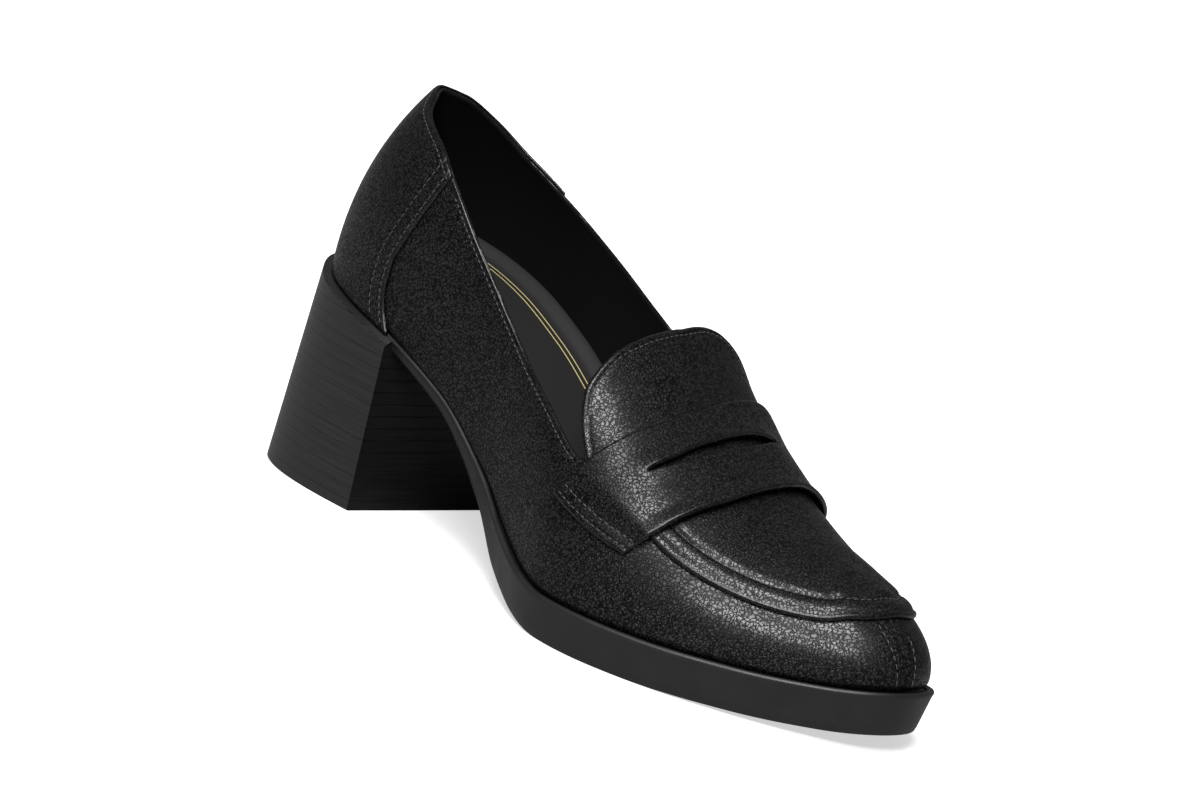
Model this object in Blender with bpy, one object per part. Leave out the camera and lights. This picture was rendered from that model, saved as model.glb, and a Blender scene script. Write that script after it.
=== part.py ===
# Heeled penny loafer, right foot, standing empty on its sole.
# Metres, +X to the toe, +Y to the inner side of the foot, +Z up, floor at Z = 0.
# The origin is the centre of the heel block's ground face.
import math

import bmesh
import bpy
import numpy as np

# Driving sizes of the last and the sole
SHOE_LENGTH = 0.240  # back of the heel rim to the tip of the sole, seen from above
BALL_WIDTH = 0.088  # feather line, across the ball
SEAT_HEIGHT = 0.0625  # floor to the top of the sole at the back of the seat
INSTEP_HEIGHT = 0.062  # sole to the last's top centre line, behind the strap
TOE_SPRING = 0.006  # lift of the sole under the toe tip
SOLE_EDGE = 0.0120  # thickness of the sole under the forefoot
SHANK_EDGE = 0.0034  # thickness of the sole at the waist and under the seat
SOLE_FLANGE = 0.0018  # how far the forefoot sole stands out past the upper
SOLE_UNDERCUT = 0.0022  # how far the sole's wall leans in towards the floor
SOLE_LIP = 0.0010  # rounding of the sole's upper and lower corners
SOLE_BELLY = 0.33  # share of the undercut that the wall has halfway down

# Driving sizes of the heel block
HEEL_BASE_LENGTH = 0.053
HEEL_BASE_WIDTH = 0.058
HEEL_BASE_START = 0.001  # heel rim to the back of the ground face
HEEL_RIM = 0.0036  # ledge of the heel block past the upper at the back
HEEL_RIM_FRONT = 0.0028  # the same ledge beside the front corners
HEEL_BEVEL = 0.0018  # fall of the ledge from the upper to its outer edge
HEEL_CHAMFER = 0.0006  # broken edge around the ground face

# Thicknesses of leather and sock
UPPER_WALL = 0.0016
COUNTER_WALL = 0.0010
APRON_WALL = 0.0013
TONGUE_WALL = 0.0015
STRAP_WALL = 0.0015
INSOLE_WALL = 0.0022
FOOTBED_RISE = 0.0168  # filler and padding under the sock, from the heel to the waist
INSOLE_INSET = 0.0008  # clearance between the insole's edge and the upper's wall
SLIT_OPENING = 0.0026  # widest opening of the lens slit in the strap
TONGUE_RISE = 0.0008  # how far the tip of the tongue stands up off the last
GAP = 0.0003  # clearance between pieces that touch
JOINT_GAP = 0.0010  # between tongue and apron, hidden under the strap

# The last's profile: the top of the sole along its length. Seat is a share of the
# climb from forefoot to seat, spring of the toe spring, edge runs from the shank's
# thickness at 0 to the forefoot's at 1, flange is a share of the sole flange, and
# footbed a share of the footbed's rise.
PROFILE_COLUMNS = ("along", "seat", "spring", "edge", "flange", "footbed")
PROFILE = (
    (0.00, 1.000, 0.00, 0.00, 0.0, 1.00),
    (0.06, 0.938, 0.00, 0.00, 0.0, 1.00),
    (0.12, 0.884, 0.00, 0.00, 0.0, 1.00),
    (0.22, 0.782, 0.00, 0.00, 0.0, 1.00),
    (0.32, 0.610, 0.00, 0.08, 0.0, 0.99),
    (0.42, 0.355, 0.00, 0.46, 0.4, 0.86),
    (0.50, 0.150, 0.00, 0.92, 0.9, 0.61),
    (0.57, 0.036, 0.00, 1.00, 1.0, 0.38),
    (0.63, 0.000, 0.00, 1.00, 1.0, 0.21),
    (0.75, 0.000, 0.00, 1.00, 1.0, 0.04),
    (0.86, 0.000, 0.18, 1.00, 1.0, 0.00),
    (0.94, 0.000, 0.52, 1.00, 1.0, 0.00),
    (1.00, 0.000, 1.00, 1.00, 1.0, 0.00),
)

# The last's sections, from the back of the heel to the toe tip.
# foot and crest are places along the shoe of the section's two ends, as shares of
# its length. outer and inner are the feather line's half widths, shares of the ball
# width. height is the top centre line above the sole, a share of the instep height.
# wall is how high the side stays upright, a share of the section's height. swell is
# its bulge outwards, and reach_out and reach_in the flat reach of the top to the
# outer and the inner side, shares of the ball width. edge_out and edge_in are the
# shares of the section that the upper covers: below 1 they are the collar. seam is
# the share where the apron's edge runs.
SECTION_COLUMNS = (
    "foot", "outer", "inner", "crest", "height", "wall", "swell", "reach_out", "reach_in",
    "edge_out", "edge_in", "seam",
)
SECTIONS = (
    (0.022, 0.000, 0.000, 0.130, 1.13, 0.62, 0.024, 0.06, 0.06, 0.650, 0.650, 0.30),
    (0.036, 0.120, 0.120, 0.150, 1.13, 0.62, 0.023, 0.10, 0.10, 0.625, 0.650, 0.30),
    (0.080, 0.232, 0.232, 0.175, 1.12, 0.62, 0.023, 0.18, 0.18, 0.600, 0.585, 0.30),
    (0.150, 0.300, 0.300, 0.210, 1.10, 0.62, 0.025, 0.26, 0.24, 0.580, 0.515, 0.28),
    (0.240, 0.325, 0.305, 0.265, 1.08, 0.62, 0.030, 0.30, 0.28, 0.500, 0.480, 0.25),
    (0.340, 0.330, 0.280, 0.340, 1.07, 0.62, 0.040, 0.33, 0.35, 0.405, 0.460, 0.20),
    (0.440, 0.375, 0.295, 0.425, 1.08, 0.60, 0.045, 0.35, 0.38, 0.370, 0.465, 0.20),
    (0.530, 0.475, 0.360, 0.500, 1.07, 0.56, 0.030, 0.38, 0.41, 0.388, 0.500, 0.25),
    (0.610, 0.565, 0.415, 0.570, 0.96, 0.54, 0.015, 0.38, 0.43, 0.405, 0.540, 0.38),
    (0.690, 0.575, 0.425, 0.640, 0.80, 0.54, 0.010, 0.38, 0.33, 1.000, 1.000, 0.405),
    (0.780, 0.500, 0.390, 0.710, 0.66, 0.54, 0.012, 0.34, 0.24, 1.000, 1.000, 0.344),
    (0.865, 0.375, 0.315, 0.770, 0.56, 0.54, 0.015, 0.27, 0.21, 1.000, 1.000, 0.331),
    (0.935, 0.240, 0.228, 0.815, 0.51, 0.56, 0.020, 0.21, 0.22, 1.000, 1.000, 0.355),
    (0.978, 0.125, 0.130, 0.837, 0.484, 0.58, 0.028, 0.19, 0.20, 1.000, 1.000, 0.432),
    (0.992, 0.000, 0.000, 0.845, 0.475, 0.60, 0.032, 0.19, 0.19, 1.000, 1.000, 0.478),
)
LAST_ROW = len(SECTIONS) - 1

# The bridge of the shoe, from the end of the strap up to the top centre line. Each
# line gives, at one share of the section, the rows of the tongue's tip, the strap's
# upper edge, its slit, the joint of tongue and apron under it, and its lower edge.
BRIDGE_COLUMNS = ("share", "tip", "upper", "slit", "joint", "lower")
BRIDGE_OUTER = (
    (0.260, 8.60, 7.86, 8.70, 9.00, 9.31),
    (0.340, 8.45, 8.02, 8.82, 9.12, 9.49),
    (0.410, 8.20, 8.21, 8.93, 9.22, 9.65),
    (0.450, 7.95, 8.29, 8.98, 9.29, 9.73),
    (0.500, 7.73, 8.38, 9.04, 9.38, 9.83),
    (0.560, 7.60, 8.48, 9.12, 9.48, 9.95),
    (0.710, 7.57, 8.70, 9.35, 9.72, 10.22),
    (0.810, 7.59, 8.79, 9.42, 9.83, 10.33),
    (0.890, 7.58, 8.80, 9.46, 9.87, 10.39),
    (1.000, 7.52, 8.71, 9.44, 9.89, 10.42),
)
BRIDGE_INNER = (
    (0.260, 8.60, 7.90, 8.66, 8.98, 9.22),
    (0.340, 8.48, 7.96, 8.72, 9.06, 9.34),
    (0.410, 8.24, 8.03, 8.78, 9.14, 9.46),
    (0.450, 8.02, 8.07, 8.82, 9.19, 9.54),
    (0.500, 7.80, 8.13, 8.87, 9.26, 9.64),
    (0.560, 7.64, 8.20, 8.93, 9.36, 9.76),
    (0.710, 7.46, 8.33, 9.10, 9.58, 10.01),
    (0.810, 7.41, 8.46, 9.23, 9.72, 10.18),
    (0.890, 7.43, 8.58, 9.34, 9.80, 10.31),
    (1.000, 7.52, 8.71, 9.44, 9.89, 10.42),
)
STRAP_END = BRIDGE_OUTER[0][0]
STRAP_DROP = 0.08  # share over which the strap comes down past the apron's edge
TONGUE_SIDE = 0.415  # share where the tongue's side edges run
SLIT_ENDS = {-1: 0.56, 1: 0.78}  # shares where the slit closes on either side

# The counter's front edge, from the sole up to the topline.
COUNTER_COLUMNS = ("height", "front")
COUNTER = (
    (0.00, 3.73),
    (0.08, 3.58),
    (0.17, 3.49),
    (0.29, 3.48),
    (0.42, 3.55),
    (0.60, 3.65),
    (0.80, 3.73),
    (1.00, 3.77),
)

# How finely the pieces are divided
ROW_STEPS = 3  # steps from one section to the next
WALL_STEPS = 4  # steps of the upper's side below the apron's edge
TOP_STEPS = 4  # steps of the upper's top above it
BRIDGE_STEPS = 4  # steps along each band of the strap
HEEL_STEPS = 9  # steps round each side of the heel block
COUNTER_STEPS = 12  # steps of the counter from the back to its front edge
APRON_STEPS = 15  # steps of the apron from the strap to its tip
SEAM_ROUNDS = 6  # passes that settle where the apron's edge meets the strap
BREAST_STEPS = 500  # steps in the search for the row at the heel's breast
FOOTBED_STEPS = 60  # steps in the search for the footbed's edge on the last
FOOTBED_SEARCH = 0.4  # share of the section that this search covers
SHARP_ANGLE = 40  # degrees between faces that stay a crisp edge
HEEL_ROUND = 2.6  # exponent of the ground face's round back
LAST_TURN = 3  # how late the sections turn from crosswise to lengthwise at the ends
SLOPE_STEP = 0.01  # rows or shares either side of a point, to read a slope there
WELD = 1e-6  # points closer than this are one


def column(table, names, name):
    return np.array([row[names.index(name)] for row in table], float)


def monotone(xs, ys, at):
    """Smooth curve through the points that never overshoots them."""
    steps = np.diff(xs)
    slopes = np.diff(ys) / steps
    tangents = np.zeros(len(xs))
    for k in range(1, len(xs) - 1):
        if slopes[k - 1] * slopes[k] > 0:
            near = 2 * steps[k] + steps[k - 1]
            far = steps[k] + 2 * steps[k - 1]
            tangents[k] = (near + far) / (near / slopes[k - 1] + far / slopes[k])
    tangents[0] = slopes[0]
    tangents[-1] = slopes[-1]
    at = np.clip(at, xs[0], xs[-1])
    k = np.clip(np.searchsorted(xs, at, side="right") - 1, 0, len(xs) - 2)
    return hermite(ys[k], ys[k + 1], tangents[k] * steps[k], tangents[k + 1] * steps[k],
                   (at - xs[k]) / steps[k])


def hermite(start, end, start_slope, end_slope, t):
    blend = t * t * (3 - 2 * t)
    return (start + (end - start) * blend + start_slope * t * (1 - t) ** 2
            - end_slope * t * t * (1 - t))


def ease(t):
    t = np.clip(t, 0, 1)
    return t * t * (3 - 2 * t)


def through_rows(values, at, mirror):
    """Smooth curve through one value per section. Past both ends the values go on
    mirrored, as the other side of the shoe does: 1 as they are, -1 turned over."""
    padded = np.concatenate([[mirror * values[1]], values, [mirror * values[-2]]])
    k = np.clip(np.floor(at).astype(int), 0, len(values) - 2)
    slope = (padded[2:] - padded[:-2]) / 2
    return hermite(values[k], values[k + 1], slope[k], slope[k + 1], at - k)


def profile(name, along):
    return monotone(column(PROFILE, PROFILE_COLUMNS, "along"),
                    column(PROFILE, PROFILE_COLUMNS, name), along)


def sole_top(along):
    climb = SEAT_HEIGHT - SOLE_EDGE
    return (SOLE_EDGE + profile("seat", along) * climb
            + profile("spring", along) * TOE_SPRING)


def sole_thickness(along):
    return SHANK_EDGE + profile("edge", along) * (SOLE_EDGE - SHANK_EDGE)


def section(name, row, mirror=1):
    return through_rows(column(SECTIONS, SECTION_COLUMNS, name), row, mirror)


def to_x(along):
    return along * SHOE_LENGTH - HEEL_BASE_START - HEEL_BASE_LENGTH / 2


def to_along(x):
    return (x + HEEL_BASE_START + HEEL_BASE_LENGTH / 2) / SHOE_LENGTH


def feather(row, side):
    """Point of the feather line on the outer (-1) or inner (1) side, and the way out."""
    name = "outer" if side < 0 else "inner"

    def plan(at):
        across = section(name, at, -1)
        return np.stack([to_x(section("foot", at)), side * BALL_WIDTH * across], -1)

    ahead = (plan(np.minimum(row + SLOPE_STEP, LAST_ROW))
             - plan(np.maximum(row - SLOPE_STEP, 0)))
    out = np.stack([-side * ahead[..., 1], side * ahead[..., 0]], -1)
    out[row <= 0] = (-1, 0)
    out[row >= LAST_ROW] = (1, 0)
    out /= np.linalg.norm(out, axis=-1, keepdims=True)
    return plan(row), out


def crest_height(row):
    return sole_top(section("crest", row)) + section("height", row) * INSTEP_HEIGHT


def crest_incline(row):
    """Slope of the top centre line."""
    low, high = np.maximum(row - SLOPE_STEP, 0), np.minimum(row + SLOPE_STEP, LAST_ROW)
    run = to_x(section("crest", high)) - to_x(section("crest", low))
    return (crest_height(high) - crest_height(low)) / run


def last_point(row, side, share):
    """Point on the last: share 0 is the feather line, 1 the top centre line."""
    row, share = np.broadcast_arrays(np.asarray(row, float), np.asarray(share, float))
    base, out = feather(row, side)
    foot_z = sole_top(section("foot", row)) + GAP
    crest_x = to_x(section("crest", row))
    crest_z = crest_height(row)
    tall = crest_z - foot_z
    swell = section("swell", row) * BALL_WIDTH
    reach = section("reach_out" if side < 0 else "reach_in", row) * BALL_WIDTH
    start = np.stack([base[..., 0], base[..., 1], foot_z], -1)
    rise = start + np.stack([out[..., 0] * swell, out[..., 1] * swell,
                             section("wall", row) * tall], -1)
    end = np.stack([crest_x, np.zeros_like(crest_x), crest_z], -1)
    ahead = out[..., 0] ** LAST_TURN
    aside = side * np.sqrt(1 - ahead ** 2)
    over = end + np.stack([ahead * reach, aside * reach,
                           ahead * reach * crest_incline(row)], -1)
    t = share[..., None]
    return ((1 - t) ** 3 * start + 3 * (1 - t) ** 2 * t * rise
            + 3 * (1 - t) * t ** 2 * over + t ** 3 * end)


def last_normal(row, side, share):
    """Direction straight out of the last. On the centre plane it stays in that plane."""
    row, share = np.broadcast_arrays(np.asarray(row, float), np.asarray(share, float))
    along = (last_point(np.minimum(row + SLOPE_STEP, LAST_ROW), side, share)
             - last_point(np.maximum(row - SLOPE_STEP, 0), side, share))
    up = (last_point(row, side, np.minimum(share + SLOPE_STEP, 1))
          - last_point(row, side, np.maximum(share - SLOPE_STEP, 0)))
    normal = -side * np.cross(along, up)
    normal[(row <= 0) | (row >= LAST_ROW), 1] = 0
    crest = share >= 1
    slope = crest_incline(row)[crest]
    normal[crest] = np.stack([-slope, np.zeros_like(slope), np.ones_like(slope)], -1)
    return normal / np.linalg.norm(normal, axis=-1, keepdims=True)


def over_last(row, side, share, lift):
    """Point at a height above the last's surface."""
    row, share, lift = np.broadcast_arrays(row, share, lift)
    return last_point(row, side, share) + last_normal(row, side, share) * lift[..., None]


def collar_edge(row, side):
    """Share of the section that the upper covers."""
    rows = np.arange(LAST_ROW + 1, dtype=float)
    name = "edge_out" if side < 0 else "edge_in"
    return monotone(rows, column(SECTIONS, SECTION_COLUMNS, name), row)


def apron_seam(row):
    return section("seam", row)


def bridge(name, side, share):
    table = BRIDGE_OUTER if side < 0 else BRIDGE_INNER
    return monotone(column(table, BRIDGE_COLUMNS, "share"),
                    column(table, BRIDGE_COLUMNS, name), share)


def rows_for(distance, side, share):
    """How many rows a distance along the shoe takes, beside the joint under the strap."""
    joint = bridge("joint", side, share)
    half = 0.5
    pace = np.linalg.norm(last_point(joint + half, side, share)
                          - last_point(joint - half, side, share), axis=-1)
    return distance / pace


def stations():
    """Rows of the last at which the long pieces have a ring of points."""
    return np.linspace(0, LAST_ROW, LAST_ROW * ROW_STEPS + 1)


def upper_sheet(side):
    """The upper, from the feather line to the collar, throat or top centre line."""
    row = stations()[:, None]
    edge = collar_edge(row, side)
    middle = np.minimum(apron_seam(row), edge / 2)
    below = middle * np.linspace(0, 1, WALL_STEPS + 1)
    above = middle + (edge - middle) * np.linspace(0, 1, TOP_STEPS + 1)[1:]
    return last_point(row, side, np.concatenate([below, above], 1))


def counter_sheet(side):
    """The counter wraps the back of the upper as far forward as its curved edge."""
    height = np.linspace(0, 1, WALL_STEPS + TOP_STEPS + 1)[None, :]
    front = monotone(column(COUNTER, COUNTER_COLUMNS, "height"),
                     column(COUNTER, COUNTER_COLUMNS, "front"), height)
    row = front * np.linspace(0, 1, COUNTER_STEPS + 1)[:, None]
    return over_last(row, side, height * collar_edge(row, side), GAP)


def apron_sheet(side):
    """The apron lies on the vamp, from its edge seam up to the top centre line."""
    across = np.linspace(0, 1, TOP_STEPS + 1)[None, :]
    forward = np.linspace(0, 1, APRON_STEPS + 1)[:, None]
    share = TONGUE_SIDE + (1 - TONGUE_SIDE) * across
    for _ in range(SEAM_ROUNDS):
        rear = bridge("joint", side, share) + rows_for(JOINT_GAP, side, share)
        share = apron_seam(rear) * (1 - across) + across
    row = rear + (LAST_ROW - rear) * forward
    return over_last(row, side, apron_seam(row) * (1 - across) + across, GAP)


def tongue_sheet(side):
    """The tongue follows the last from its round tip to the joint under the strap."""
    share = np.linspace(TONGUE_SIDE, 1, 2 * BRIDGE_STEPS + 1)[None, :]
    forward = np.linspace(0, 1, 2 * BRIDGE_STEPS + 1)[:, None]
    tip = bridge("tip", side, share)
    upper = bridge("upper", side, share)
    row = tip + (bridge("joint", side, share) - tip) * forward
    free = np.clip((upper - row) / (upper - bridge("tip", side, 1.0)), 0, 1)
    return over_last(row, side, share, GAP + TONGUE_RISE * free ** 2)


def strap_sheets(side):
    """The strap's two bands, above and below the slit, which open where it opens."""
    share = np.linspace(STRAP_END, 1, 4 * BRIDGE_STEPS + 1)[None, :]
    part = np.linspace(0, 1, BRIDGE_STEPS + 1)[:, None]
    slit = bridge("slit", side, share)
    inside = np.clip((share - SLIT_ENDS[side]) / (1 - SLIT_ENDS[side]), 0, 1)
    half = rows_for(SLIT_OPENING / 2, side, share) * np.sin(inside * math.pi / 2)
    upper = bridge("upper", side, share)
    lower = bridge("lower", side, share)
    rows = (upper + (slit - half - upper) * part,
            slit + half + (lower - slit - half) * part)
    sheets = []
    for row in rows:
        over_apron = ease((share - apron_seam(row) + STRAP_DROP) / STRAP_DROP)
        lift = GAP + (TONGUE_WALL + GAP) * over_apron
        sheets.append(over_last(row, side, share, lift))
    return sheets


def outline(row, side, offset):
    """Plan of the feather line, moved out by an offset."""
    base, out = feather(row, side)
    return base + out * np.broadcast_to(offset, row.shape)[..., None]


def level_loop(plan, depth):
    """Points at a depth below the top of the sole."""
    height = sole_top(to_along(plan[:, 0])) - depth
    return np.concatenate([plan, height[:, None]], 1)


def sole_loops(side):
    """Lines of the outsole's edge, from its top face down to its bottom face."""
    row = stations()
    along = section("foot", row)
    thick = sole_thickness(along)
    flange = profile("flange", along) * SOLE_FLANGE
    lean = SOLE_UNDERCUT * thick / SOLE_EDGE
    round_off = SOLE_LIP * (1 - math.sqrt(0.5))
    lines = (
        (flange - SOLE_LIP, 0.0),
        (flange - round_off, round_off),
        (flange, SOLE_LIP),
        (flange - lean * SOLE_BELLY, thick / 2),
        (flange - lean, thick - SOLE_LIP),
        (flange - lean - SOLE_LIP, thick),
    )
    loops = []
    for offset, depth in lines:
        plan = outline(row, side, offset)
        bottom = sole_thickness(to_along(plan[:, 0])) - thick
        loops.append(level_loop(plan, depth + bottom * (depth / thick)))
    return loops


def footbed_top(along):
    """Height of the sock above the top of the sole."""
    return INSOLE_WALL + profile("footbed", along) * FOOTBED_RISE


def insole_loops(side):
    """Lines of the footbed's edge, which follows the upper's inside, from the sock down."""
    row = stations()
    floor = sole_top(section("foot", row))
    rise = footbed_top(section("foot", row))
    shares = np.linspace(0, FOOTBED_SEARCH, FOOTBED_STEPS + 1)
    climb = last_point(row[:, None], side, shares)[..., 2] - floor[:, None]
    top = np.array([np.interp(high, line, shares) for high, line in zip(rise, climb)])
    inward = -UPPER_WALL - INSOLE_INSET - GAP
    loops = []
    for part in (1, 1 / 2):
        loop = over_last(row, side, top * part, inward)
        loop[:, 2] = floor + rise * part
        loops.append(loop)
    return [*loops, level_loop(outline(row, side, inward), -GAP)]


def heel_loops(side):
    """Lines of the heel block round one side: recess floor and edge, ledge, ground."""
    turn = np.linspace(0, 1, HEEL_STEPS + 1)
    rows = np.linspace(0, LAST_ROW, BREAST_STEPS + 1)
    breast = HEEL_BASE_START + HEEL_BASE_LENGTH
    row = turn * np.interp(breast, section("foot", rows) * SHOE_LENGTH, rows)
    angle = turn * math.pi / 2
    ledge = HEEL_RIM_FRONT + (HEEL_RIM - HEEL_RIM_FRONT) * np.cos(angle)
    loops = []
    for offset, depth in ((GAP, SHANK_EDGE + GAP), (GAP, GAP), (ledge, HEEL_BEVEL)):
        plan = outline(row, side, offset)
        plan[-1, 0] = HEEL_BASE_LENGTH / 2
        loops.append(level_loop(plan, depth))
    for inset, height in ((0.0, HEEL_CHAMFER), (HEEL_CHAMFER, 0.0)):
        length = (HEEL_BASE_LENGTH - inset) * np.cos(angle) ** (2 / HEEL_ROUND)
        width = (HEEL_BASE_WIDTH / 2 - inset) * np.sin(angle) ** (2 / HEEL_ROUND)
        back = HEEL_BASE_LENGTH / 2 - length
        loops.append(np.stack([back, side * width, np.full_like(back, height)], 1))
    return loops


# Blender objects


def add_grid(bm, points, side):
    """Faces over a grid of points, facing out of the last on either side."""
    lines = [[bm.verts.new(point) for point in line] for line in points]
    for near, far in zip(lines, lines[1:]):
        for k in range(len(near) - 1):
            corners = (near[k], far[k], far[k + 1], near[k + 1])
            bm.faces.new(corners if side < 0 else corners[::-1])


def add_band(bm, upper, lower, closed):
    """Faces between two lines of points that go the same way round."""
    count = len(upper)
    for k in range(count if closed else count - 1):
        after = (k + 1) % count
        bm.faces.new((upper[k], upper[after], lower[after], lower[k]))


def add_ladder(bm, line, closed, downward):
    """Faces across a loop from each point to the one opposite, from end to end."""
    count = len(line)
    for k in range(count // 2):
        low, low_after = (count - k) % count, count - k - 1
        if not closed:
            low, low_after = count - k - 1, count - k - 2
        corners = []
        for vert in (line[k], line[k + 1], line[low_after], line[low]):
            if vert not in corners:
                corners.append(vert)
        bm.faces.new(corners if downward else corners[::-1])


def principled(name, colour, roughness):
    look = bpy.data.materials.new(name)
    look.use_nodes = True
    shader = look.node_tree.nodes["Principled BSDF"]
    shader.inputs["Base Color"].default_value = (*colour, 1.0)
    shader.inputs["Roughness"].default_value = roughness
    shader.inputs["Metallic"].default_value = 0.0
    return look


def to_object(bm, name, look):
    mesh = bpy.data.meshes.new(name)
    bm.to_mesh(mesh)
    bm.free()
    mesh.shade_smooth()
    mesh.set_sharp_from_angle(angle=math.radians(SHARP_ANGLE))
    mesh.materials.append(look)
    made = bpy.data.objects.new(name, mesh)
    bpy.context.scene.collection.objects.link(made)
    return made


def leather(name, sheets, wall, outward, look):
    """A sheet on the last with a wall's thickness, both sides of the shoe in one."""
    bm = bmesh.new()
    for side, points in sheets:
        add_grid(bm, points, side)
    bmesh.ops.remove_doubles(bm, verts=bm.verts[:], dist=WELD)
    made = to_object(bm, name, look)
    solid = made.modifiers.new("Wall", "SOLIDIFY")
    solid.thickness = wall
    solid.offset = 1.0 if outward else -1.0
    solid.use_even_offset = True
    return made


def both_sides(sheet):
    return [(side, sheet(side)) for side in (-1, 1)]


def soled(name, loops, look):
    """A closed plate under the foot, from its lines on the outer and the inner side."""
    bm = bmesh.new()
    rings = []
    for outer, inner in zip(loops(-1), loops(1)):
        points = np.concatenate([inner, outer[-2:0:-1]])
        rings.append([bm.verts.new(point) for point in points])
    for upper, lower in zip(rings, rings[1:]):
        add_band(bm, upper, lower, closed=True)
    add_ladder(bm, rings[0], closed=True, downward=False)
    add_ladder(bm, rings[-1], closed=True, downward=True)
    bmesh.ops.recalc_face_normals(bm, faces=bm.faces[:])
    return to_object(bm, name, look)


def heel_block(name, look):
    bm = bmesh.new()
    lines = []
    for outer, inner in zip(heel_loops(-1), heel_loops(1)):
        points = np.concatenate([outer[:0:-1], inner])
        lines.append([bm.verts.new(point) for point in points])
    for upper, lower in zip(lines, lines[1:]):
        add_band(bm, upper, lower, closed=False)
    add_ladder(bm, lines[0], closed=False, downward=False)
    add_ladder(bm, lines[-1], closed=False, downward=True)
    bm.faces.new([line[0] for line in lines] + [line[-1] for line in lines[::-1]])
    bmesh.ops.recalc_face_normals(bm, faces=bm.faces[:])
    return to_object(bm, name, look)


def build_shoe():
    for thing in list(bpy.data.objects):
        bpy.data.objects.remove(thing, do_unlink=True)
    black_leather = principled("BlackLeather", (0.012, 0.012, 0.013), 0.42)
    soled("outsole", sole_loops, principled("BlackRubber", (0.016, 0.016, 0.016), 0.55))
    heel_block("heel_block", principled("StackedHeel", (0.013, 0.013, 0.013), 0.38))
    soled("insole", insole_loops, principled("GreySock", (0.035, 0.035, 0.036), 0.60))
    leather("upper", both_sides(upper_sheet), UPPER_WALL, False, black_leather)
    leather("back_counter", both_sides(counter_sheet), COUNTER_WALL, True, black_leather)
    leather("apron", both_sides(apron_sheet), APRON_WALL, True, black_leather)
    leather("tongue", both_sides(tongue_sheet), TONGUE_WALL, True, black_leather)
    bands = [(side, points) for side in (-1, 1) for points in strap_sheets(side)]
    leather("saddle_strap", bands, STRAP_WALL, True, black_leather)


build_shoe()
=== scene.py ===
import math

import bpy
import numpy as np
from mathutils import Matrix, kdtree


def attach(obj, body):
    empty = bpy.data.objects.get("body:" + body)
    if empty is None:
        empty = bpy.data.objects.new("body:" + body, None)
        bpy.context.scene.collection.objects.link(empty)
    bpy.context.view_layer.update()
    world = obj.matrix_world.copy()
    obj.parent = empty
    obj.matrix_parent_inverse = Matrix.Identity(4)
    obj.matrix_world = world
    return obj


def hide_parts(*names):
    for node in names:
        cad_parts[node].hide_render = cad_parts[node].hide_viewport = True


# Heeled penny loafer for the right foot: leather, seams, lining and heel around the solids
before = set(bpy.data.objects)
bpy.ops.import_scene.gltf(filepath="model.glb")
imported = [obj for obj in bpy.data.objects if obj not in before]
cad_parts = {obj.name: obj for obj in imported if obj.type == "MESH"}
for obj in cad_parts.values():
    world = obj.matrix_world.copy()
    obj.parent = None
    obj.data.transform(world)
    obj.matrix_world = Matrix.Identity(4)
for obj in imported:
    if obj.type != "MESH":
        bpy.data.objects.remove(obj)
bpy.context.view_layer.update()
for thing in bpy.context.selected_objects:
    thing.select_set(False)
millimetre = 0.001

# The last, in metres: every leather piece below is laid over this form
shoe = {
    "length": 0.240,
    "ballWidth": 0.088,
    "seatHeight": 0.0625,
    "instepHeight": 0.062,
    "toeSpring": 0.006,
    "soleEdge": 0.0120,
    "shankEdge": 0.0034,
    "flange": 0.0018,
    "undercut": 0.0022,
    "heelStart": 0.001,
    "heelLength": 0.053,
    "heelWidth": 0.058,
    "heelRim": 0.0036,
    "heelRimFront": 0.0028,
    "heelBevel": 0.0018,
    "heelRound": 2.6,
    "clearance": 0.0003,
}
profileColumns = ("along", "seat", "spring", "edge", "flange", "footbed")
profileTable = np.array((
    (0.00, 1.000, 0.00, 0.00, 0.0, 1.00),
    (0.06, 0.938, 0.00, 0.00, 0.0, 1.00),
    (0.12, 0.884, 0.00, 0.00, 0.0, 1.00),
    (0.22, 0.782, 0.00, 0.00, 0.0, 1.00),
    (0.32, 0.610, 0.00, 0.08, 0.0, 0.99),
    (0.42, 0.355, 0.00, 0.51, 0.4, 0.86),
    (0.50, 0.150, 0.00, 0.97, 0.9, 0.61),
    (0.57, 0.036, 0.00, 1.00, 1.0, 0.38),
    (0.63, 0.000, 0.00, 1.00, 1.0, 0.21),
    (0.75, 0.000, 0.00, 1.00, 1.0, 0.04),
    (0.86, 0.000, 0.18, 1.00, 1.0, 0.00),
    (0.94, 0.000, 0.52, 1.00, 1.0, 0.00),
    (1.00, 0.000, 1.00, 1.00, 1.0, 0.00),
))
sectionColumns = (
    "foot", "outer", "inner", "crest", "height", "wall", "swell", "reachOut", "reachIn",
    "edgeOut", "edgeIn", "seam",
)
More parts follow.
